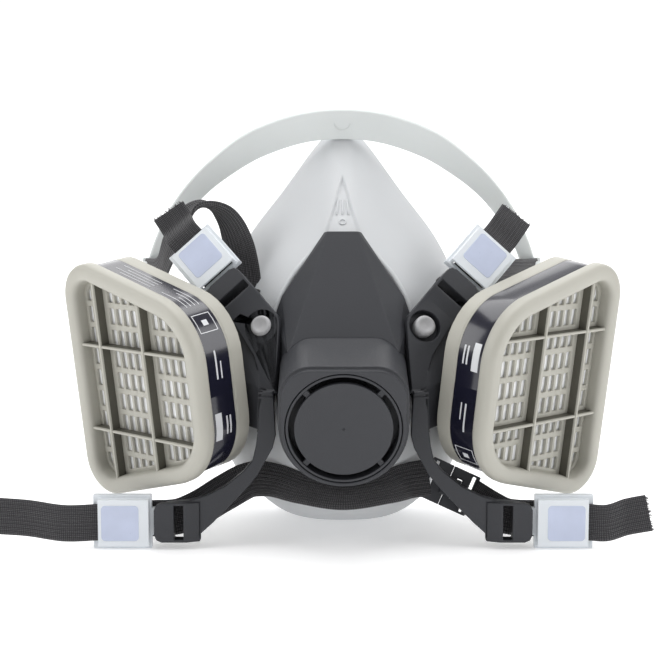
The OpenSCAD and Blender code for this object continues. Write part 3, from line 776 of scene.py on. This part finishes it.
def grille_plate():
    """The slotted plate, in local millimetres, as a mesh to copy onto both cartridges."""
    bm = bmesh.new()
    add_prism(bm, outline(7.2), *PLATE_Z)
    bmesh.ops.recalc_face_normals(bm, faces=bm.faces)
    mesh = bpy.data.meshes.new("plate")
    bmesh.ops.scale(bm, vec=(MM, MM, MM), verts=bm.verts)
    bm.to_mesh(mesh)
    bm.free()
    plate = bpy.data.objects.new("plate", mesh)
    bpy.context.collection.objects.link(plate)
    cutter = bmesh.new()
    for slot in grille_slots():
        add_prism(cutter, slot, PLATE_Z[0] - 1, PLATE_Z[1] + 1)
    bmesh.ops.recalc_face_normals(cutter, faces=cutter.faces)
    cut(plate, cutter)
    bm = bmesh.new()
    bm.from_mesh(plate.data)
    bpy.data.objects.remove(plate)
    bmesh.ops.scale(bm, vec=(1 / MM, 1 / MM, 1 / MM), verts=bm.verts)
    bmesh.ops.remove_doubles(bm, verts=bm.verts, dist=0.002)
    top = [e for e in bm.edges if e.is_manifold and e.calc_face_angle(0) > math.radians(60)
           and all(v.co.z > PLATE_Z[1] - 0.01 for v in e.verts)]
    bmesh.ops.bevel(bm, geom=top, offset=0.22, offset_type="OFFSET", segments=2, profile=0.5,
                    affect="EDGES", clamp_overlap=False)
    mesh = bpy.data.meshes.new("plate")
    bm.to_mesh(mesh)
    bm.free()
    return mesh


RIM_PROFILE = [(1.6, 13.0), (1.6, 13.75), (2.1, 13.8), (2.1, 20), (2.1, 26.35), (1.5, 26.5),
               (0.5, 26.75), (0.12, 27.2), (0.0, 27.9), (0.0, 30.2), (0.15, 31.2), (0.6, 32.1),
               (1.4, 32.75), (2.5, 33.0), (4.6, 33.0), (5.8, 32.75), (6.6, 32.2), (7.05, 31.4),
               (7.2, 30.4), (7.3, 27.2), (7.3, 26.0), (3.6, 26.0), (3.6, 13.0)]


def add_fin(bm, along, at, top):
    """A fin with a rounded top edge and sides in painted shade, clipped to the rim."""
    half, reach, foot = 0.6, 60, 27.1
    if along == "y":
        corners = [Vector((at - half, -reach)), Vector((at + half, -reach)),
                   Vector((at + half, reach)), Vector((at - half, reach))]
    else:
        corners = [Vector((-reach, at - half)), Vector((reach, at - half)),
                   Vector((reach, at + half)), Vector((-reach, at + half))]
    shape = clip(corners, outline(6.9))
    middle = sum(shape, Vector((0, 0))) / len(shape)

    def pull(p, by):
        d = p - middle
        if along == "y":
            return Vector((p.x - math.copysign(by, d.x), p.y))
        return Vector((p.x, p.y - math.copysign(by, d.y)))

    levels = [(0, foot), (0, top - 0.9), (0.02, top - 0.35), (0.2, top - 0.06), (0.34, top)]
    grid = [[Vector((*pull(p, by), z)) for p in shape] for by, z in levels]
    rows = add_grid(bm, grid, caps=True)
    # The faces of the two lowest rows, the fin's sides, take the second material: painted shade.
    low = set(rows[0] + rows[1])
    for f in bm.faces:
        if all(v in low for v in f.verts):
            f.material_index = 1


def front_shell(side, plate):
    """The cartridge's front: slotted plate, rim and the four crossing fins."""
    bm = bmesh.new()
    bm.from_mesh(plate)
    add_grid(bm, ring_grid(RIM_PROFILE), closed_rows=True)
    for x in (-20.8, 6.6):
        add_fin(bm, "y", x, 31.9)
    for y in (14.9, -21.5):
        add_fin(bm, "x", y, 31.5)
    bmesh.ops.transform(bm, matrix=PORTS[side], verts=bm.verts)
    node = "cartridge_" + side + "_front_shell"
    piece = to_object(node + "_look", bm, [BEIGE, BEIGE_PAINTED_SHADE], BODY_OF[node],
                      42)
    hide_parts(node)


def around(s, inset, z):
    """A point on the cartridge wall, s millimetres from the middle of the near edge."""
    flat = [p for p, d in OUTLINE]
    n = len(flat)
    i = min((k for k in range(n) if abs(flat[k].x - HALF_W) < 0.01 and flat[k].y < 0),
            key=lambda k: -flat[k].y)
    s += abs(flat[i].y)
    step = 1 if s >= 0 else -1
    s = abs(s)
    while True:
        j = (i + step) % n
        length = (flat[j] - flat[i]).length
        if s <= length:
            t = s / length if length else 0
            d = OUTLINE[i][1].lerp(OUTLINE[j][1], t).normalized()
            q = flat[i].lerp(flat[j], t) - d * inset
            return Vector((q.x, q.y, z))
        s -= length
        i = j


def add_patch(bm, s0, s1, z0, z1, inset, thick):
    """A thin printed patch that follows the cartridge wall."""
    n = max(2, int(abs(s1 - s0) / 1.2) + 1)
    grid = []
    for k in range(n + 1):
        s = s0 + (s1 - s0) * k / n
        grid.append([around(s, inset, z0), around(s, inset, z1),
                     around(s, inset + thick, z1), around(s, inset + thick, z0)])
    add_grid(bm, grid, caps=True)


INK_T = 0.05
BARS = [(-20.5, -8.5, 21.2, 24.6, 1.63), (-18.5, -10.5, 16.4, 17.2, 1.63),
        (-18.5, -10.5, 18.2, 19.0, 1.63), (5, 17, 20.6, 21.4, 1.55), (5, 12, 18.4, 19.0, 1.55)]
EMPTY_BOX = [(25, 34, 15.4, 15.75), (25, 34, 24.2, 24.55), (25, 25.35, 15.4, 24.55),
             (33.65, 34, 15.4, 24.55), (28.2, 30.8, 18.6, 21.3)]


def label_band(side):
    """The dark film round the shell, with plain bars and lines where print would be."""
    node = "cartridge_" + side + "_label_band"
    profile = [(1.78, 13.85), (1.7, 13.95), (1.7, 26.2), (1.78, 26.32), (2.08, 26.32),
               (2.08, 13.85)]
    bm = bmesh.new()
    add_grid(bm, ring_grid(profile), closed_rows=True)
    add_patch(bm, -1.5, 128, 13.95, 26.2, 1.62, 0.1)
    bmesh.ops.transform(bm, matrix=PORTS[side], verts=bm.verts)
    piece = to_object(node + "_look", bm, LABEL, BODY_OF[node], 35)
    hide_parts(node)
    bm = bmesh.new()
    for s0, s1, z0, z1, inset in BARS:
        add_patch(bm, s0, s1, z0, z1, inset, INK_T)
    for s0, s1, z0, z1 in EMPTY_BOX:
        add_patch(bm, s0, s1, z0, z1, 1.54, INK_T)
    for k in range(4):
        z = 16.2 + 2.1 * k
        add_patch(bm, 39, 55 - 4 * (k % 3), z, z + 0.3, 1.54, INK_T)
    for k in range(4):
        z = 16.2 + 2.1 * k
        add_patch(bm, 62, 86 - 5 * (k % 2), z, z + 0.25, 1.54, INK_T)
    bmesh.ops.transform(bm, matrix=PORTS[side], verts=bm.verts)
    to_object("cartridge_" + side + "_label_print", bm, INK, BODY_OF[node], 35)


def scrims(side):
    """The white cloth on both faces of the charcoal, slightly uneven."""
    for which, z0, z1 in (("front", 25.4, 26.0), ("back", 7.4, 8.0)):
        node = "cartridge_" + side + "_scrim_" + which
        rnd = random.Random(11 if which == "front" else 12)
        bm = bmesh.new()
        grid = []
        rings = 12
        for k in range(rings + 1):
            f = 1 - k / rings
            grid.append([Vector((p.x * f, p.y * f, z1 - 0.1 - 0.35 * rnd.random() * (0 < f < 1)))
                         for p in outline(3.7)])
        rows = [[bm.verts.new(p) for p in row] for row in grid[:-1]]
        for f in strip_faces(rows, False, True):
            bm.faces.new(f)
        centre = bm.verts.new((0, 0, z1 - 0.2))
        for j in range(len(rows[-1])):
            bm.faces.new((rows[-1][j], centre, rows[-1][(j + 1) % len(rows[-1])]))
        extra = bmesh.ops.extrude_face_region(bm, geom=bm.faces[:])
        for v in extra["geom"]:
            if isinstance(v, bmesh.types.BMVert):
                v.co.z = z0
        bmesh.ops.transform(bm, matrix=PORTS[side], verts=bm.verts)
        piece = to_object(node + "_look", bm, SCRIM, BODY_OF[node], 70)
        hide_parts(node)


PLATE = grille_plate()
for side in SIDES:
    front_shell(side, PLATE)
    label_band(side)
    scrims(side)
bpy.data.meshes.remove(PLATE)


# ---- webbing ----
WEB_W, WEB_T = 15.0, 1.3
CORDS = 9
CORD_H = 0.28
STEPS_PER_CORD = 6
UV_MM = 10


def web_section():
    """Cross-section of the elastic webbing: cords on both faces and rounded selvedges."""
    half = WEB_W / 2 - 0.35
    steps = CORDS * STEPS_PER_CORD
    top = []
    for i in range(steps + 1):
        x = -half + 2 * half * i / steps
        crown = abs(math.sin(math.pi * (x + half) / (2 * half) * CORDS)) ** 0.7
        top.append((x, WEB_T / 2 - CORD_H + CORD_H * crown))
    low = [(x, -y) for x, y in reversed(top)]
    return top + [(half + 0.28, 0.3), (half + 0.35, 0), (half + 0.28, -0.3)] + low + [
        (-half - 0.28, -0.3), (-half - 0.35, 0), (-half - 0.28, 0.3)]


SECTION = web_section()


def resample(points, across, step):
    """Even steps along the path, with the width direction carried along."""
    p, a = open_curve(points, 24), open_curve(across, 24)
    lengths = [0]
    for i in range(1, len(p)):
        lengths.append(lengths[-1] + (p[i] - p[i - 1]).length)
    n = max(4, int(lengths[-1] / step))
    out, wide, k = [], [], 0
    for i in range(n + 1):
        want = lengths[-1] * i / n
        while k < len(p) - 2 and lengths[k + 1] < want:
            k += 1
        t = (want - lengths[k]) / max(lengths[k + 1] - lengths[k], 1e-9)
        out.append(p[k].lerp(p[k + 1], min(max(t, 0), 1)))
        wide.append(a[k].lerp(a[k + 1], min(max(t, 0), 1)))
    return out, wide, lengths[-1]


def side_and_up(t, across):
    """The width and thickness directions of webbing that runs along t."""
    w = (across - t * across.dot(t)).normalized()
    return w, t.cross(w)


def weave_u(x):
    return (x + 8) / UV_MM


def fray(bm, layer, points, across):
    """Short loose threads at the cut end of a strap."""
    rnd = random.Random(7)
    end, before = points[-1], points[-3]
    t = (end - before).normalized()
    w, up = side_and_up(t, across)
    for k in range(46):
        x = rnd.uniform(-WEB_W / 2 + 0.3, WEB_W / 2 - 0.3)
        start = end - t * 0.4 + w * x + up * rnd.uniform(-0.35, 0.35)
        reach = rnd.uniform(0.5, 1.7)
        bend = w * rnd.uniform(-0.6, 0.6) + up * rnd.uniform(-0.5, 0.5)
        hair = [start + t * reach * u + bend * u * u for u in (0, 0.35, 0.7, 1)]
        made = add_grid(bm, tube_rows(hair, [0.17, 0.15, 0.11, 0.05], 5), caps=True)
        for row in made:
            for v in row:
                for loop in v.link_loops:
                    loop[layer].uv = (weave_u(x), 0.35)


def strap(name, path, across, body, matrix=Matrix(), nodes=(), frayed=False, step=0.7, thin=1.0):
    """Webbing swept along a path; across gives its width direction at each point."""
    points, wide, length = resample(path, across, step)
    bm = bmesh.new()
    grid = []
    n = len(points)
    for i, p in enumerate(points):
        t = (points[min(i + 1, n - 1)] - points[max(i - 1, 0)]).normalized()
        w, up = side_and_up(t, wide[i])
        grid.append([p + w * x + up * y * thin for x, y in SECTION])
    rows = add_grid(bm, grid, caps=True)
    layer = bm.loops.layers.uv.new("weave")
    place = {}
    for i, row in enumerate(rows):
        for j, v in enumerate(row):
            place[v] = (weave_u(SECTION[j][0]), length * i / n / UV_MM)
    for f in bm.faces:
        for loop in f.loops:
            loop[layer].uv = place[loop.vert]
    if frayed:
        fray(bm, layer, points, wide[-1])
    bmesh.ops.transform(bm, matrix=matrix, verts=bm.verts)
    piece = to_object(name, bm, WEBBING, body, 50)
    if nodes:
        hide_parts(*nodes)
    return piece


def tail_path(free, drop, wave):
    """The webbing's way through a buckle and out, with free millimetres hanging past it."""
    return [(0, 1.4, -4.75), (0, 4.3, -4.35), (0, 6.7, -2.5), (0, 7.7, 0.2), (0, 9.4, 2.1),
            (0, 12.5, 2.4), (0, 25, 2.4), (0, 26 + free * 0.3, 2.6 + wave),
            (-drop * 0.5, 26 + free * 0.65, 2.2 - wave * 0.4), (-drop, 26 + free, 2.6 + wave * 0.5)]


TAILS = {("upper", "left"): (18, 2, 1.5), ("upper", "right"): (17, 1, -0.6),
         ("lower", "left"): (44, 3, 1.6), ("lower", "right"): (24, 4, 1.2)}
for (level, side), numbers in TAILS.items():
    name = level + "_" + side
    strap("tail_" + name + "_look", tail_path(*numbers), [(1, 0, 0)] * 10, "buckle_" + name,
          end_matrix(level, side), ["tail_" + name], frayed=True)


def from_end(x, y, z):
    return UPPER_END @ Vector((x, y, z))


strap("upper_strap_left_look",
      [from_end(0, -0.4, -4.75), from_end(0, -3.5, -5.6), from_end(-1, -5, -9.5),
       from_end(-3, 0, -14), (44, 27, 118), (50, 33, 130), (60, 37, 135), (69, 42, 129),
       (76, 50, 116), (82, 64, 104), (89.5, 82.5, 101.6)],
      [ARM_X, ARM_X, (0.8, -0.1, -0.6), (0.85, -0.2, -0.5), (0.8, 0.35, -0.4), (0.6, 0.75, -0.3),
       (0.35, 0.9, 0), (0.35, 0.85, 0.3), (0.2, 0.4, 0.9), (0, 0.1, 1), (0, 0, 1)],
      "facepiece", MIRROR, ["upper_strap_left"])
strap("upper_strap_right_look",
      [from_end(0, -0.4, -4.75), from_end(0.5, -3, -6), from_end(2, -3.5, -10), (57, 26, 106),
       (68, 42, 105), (79, 61, 103), (89.5, 82.5, 101.6)],
      [ARM_X, ARM_X, (0.7, -0.1, -0.7), (0.5, 0, -0.85), (0.2, 0, -0.95), (0, -0.1, -1), (0, 0, -1)],
      "facepiece", Matrix(), ["upper_strap_right"])
# The first three points lie up to 0.9 mm above the CAD strap's own.
strap("neck_strap_left_look",
      [(-72.1, -15.25, 11), (-66, -13.5, 11.5), (-58, -11, 14.5), (-48, -7.5, 20), (-38, -7, 25),
       (-28, -13, 26), (-16, -20, 24), (0, -24.5, 22.5), (16, -20.5, 24), (26, -14, 26),
       (35, -9.5, 26.5)],
      [(0, 0, 1), (0, 0, 1), (0, 0.1, 1), (0, 0.2, 1), (0, 0.35, 0.95), (0, 0.7, 0.7),
       (0, 0.8, 0.6), (0, 0.8, 0.6), (0, 0.8, 0.6), (0, 0.55, 0.8), (0, 0.25, 1)],
      "facepiece", Matrix(), ["neck_strap_left"])
strap("neck_strap_right_look",
      [(52, -9.2, 18.5), (60, -11.8, 14), (66, -13.5, 11.5), (72.1, -15.25, 11)],
      [(0, 0.2, 1), (0, 0.1, 1), (0, 0, 1), (0, 0, 1)], "facepiece", Matrix(),
      ["neck_strap_right"])


def strap_link(level, side):
    """The few millimetres of strap behind each buckle pin."""
    m = end_matrix(level, side)
    piece = strap("strap_link_" + level + "_" + side,
                  [(0, -1.6, -4.85), (0, -0.4, -4.76), (0, 0.8, -4.74), (0, 2.2, -4.66)],
                  [(1, 0, 0)] * 4, None, m, step=0.4, thin=0.94)
    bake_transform(piece)


for level in LEVELS:
    for side in SIDES:
        strap_link(level, side)


# ---- stage ----
def stage():
    """A white floor that curves up into a wall behind the object, in metres."""
    bend = [math.radians(9 * k) for k in range(11)]
    curve = [(0.9 + 1.2 * math.sin(a), 1.2 - 1.2 * math.cos(a)) for a in bend]
    bm = bmesh.new()
    add_grid(bm, [[(x, y, z) for x in (-4, 4)] for y, z in [(-3, 0)] + curve + [(2.1, 4)]],
             closed_ring=False)
    mesh = bpy.data.meshes.new("floor")
    bm.to_mesh(mesh)
    bm.free()
    mesh.polygons.foreach_set("use_smooth", [True] * len(mesh.polygons))
    floor = bpy.data.objects.new("floor", mesh)
    bpy.context.collection.objects.link(floor)
    mat = bpy.data.materials.new("floor")
    mat.use_nodes = True
    shader = mat.node_tree.nodes["Principled BSDF"]
    shader.inputs["Base Color"].default_value = (0.92, 0.92, 0.925, 1)
    shader.inputs["Roughness"].default_value = 0.55
    shader.inputs["Emission Color"].default_value = (1, 1, 1, 1)
    shader.inputs["Emission Strength"].default_value = 0.3
    floor.data.materials.append(mat)


def lamp(name, location, aim_z, size, size_y, power):
    data = bpy.data.lights.new(name, "AREA")
    data.shape = "RECTANGLE"
    data.size = size
    data.size_y = size_y
    data.energy = power
    obj = bpy.data.objects.new(name, data)
    obj.location = location
    obj.rotation_euler = look_at(location, (0, 0, aim_z))
    bpy.context.collection.objects.link(obj)


stage()
lamp("top", (0, 0.15, 1.5), 0.05, 1.3, 1.3, 17)
for sign, name in ((-1, "side_left"), (1, "side_right")):
    lamp(name, (1.3 * sign, -0.35, 0.75), 0.08, 0.9, 1.1, 8)
lamp("back", (0, 1.3, 0.9), 0.1, 1.6, 0.8, 4.5)
lamp("front", (0.1, -1.6, 0.9), 0.08, 1.0, 0.6, 1.6)
world = bpy.data.worlds.new("world")
world.use_nodes = True
world.node_tree.nodes["Background"].inputs["Color"].default_value = (1, 1, 1, 1)
world.node_tree.nodes["Background"].inputs["Strength"].default_value = 0.34
bpy.context.scene.world = world
bpy.context.scene.view_settings.view_transform = "Standard"
